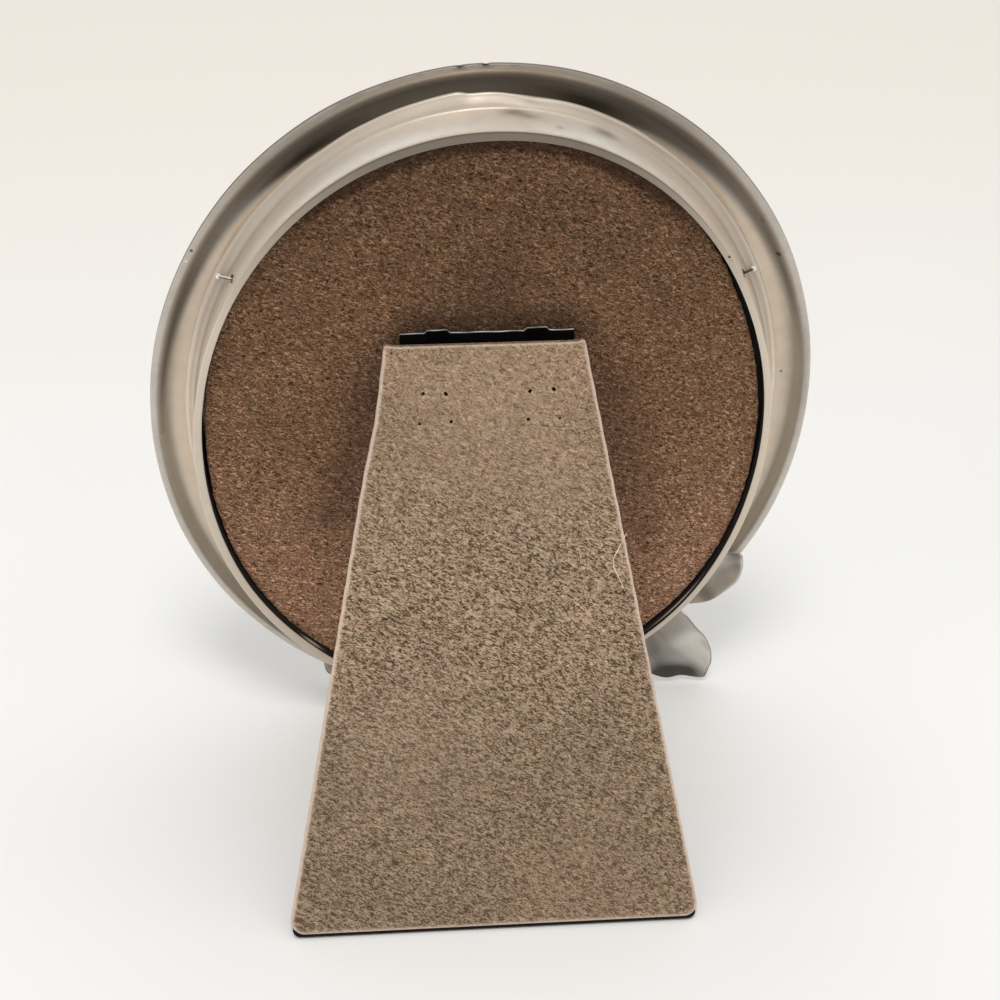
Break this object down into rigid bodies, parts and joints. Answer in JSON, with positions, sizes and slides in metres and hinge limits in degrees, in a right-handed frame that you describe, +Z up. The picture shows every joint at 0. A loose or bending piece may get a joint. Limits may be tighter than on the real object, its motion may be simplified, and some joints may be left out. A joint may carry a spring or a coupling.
{
  "type": "oval picture frame",
  "caption": "Free-standing oval picture frame: cast rail with applied blossoms, glass in a deep well, flocked easel back and a hinged strut leg.",
  "frame": {"origin": "middle of the small ground flat under the rail, where the frame stands", "axes": "+Z up, -Y towards the viewer of the picture, +Y towards the leg, +X to the left seen from behind"},
  "size_m": [0.1514, 0.0942, 0.1961],
  "materials": {
    "pewter": "satin cast pewter",
    "band": "satin pewter, soldered",
    "wire": "drawn wire",
    "glass": "clear",
    "card": "blank matt card",
    "filler": "plain",
    "black_board": "matt black hardboard",
    "brown_velour": "short brown pile",
    "tan_velour": "short tan pile",
    "black_steel": "black japanned sheet",
    "pin_steel": "drawn wire"
  },
  "bodies": {
    "frame": {"frame_ring": "pewter", "well_band": "band", "hanging_loop_left": "wire", "hanging_loop_right": "wire", "glass_pane": "glass", "picture_card": "card", "filler_card": "filler", "blossom_large": "pewter", "blossom_large_button": "pewter", "blossom_small": "pewter", "blossom_small_button": "pewter", "leaf_upper": "pewter", "leaf_left": "pewter", "leaf_bottom": "pewter"},
    "back_panel": {"back_board": "black_board", "back_velvet": "brown_velour", "hinge_fixed_leaf": "black_steel", "hinge_pin": "pin_steel"},
    "leg": {"hinge_swing_leaf": "black_steel", "leg_board": "black_board", "leg_velvet": "tan_velour"}
  },
  "joints": [
    {"name": "panel_lift", "type": "slide", "parent": "frame", "child": "back_panel", "axis": [0, 0.9703, -0.2419], "range_m": [0, 0.025]},
    {"name": "leg_hinge", "type": "hinge", "parent": "back_panel", "child": "leg", "pos_m": [0.001, 0.0411, 0.12773], "axis": [-1, 0, 0], "range_deg": [0, 33]}
  ]
}
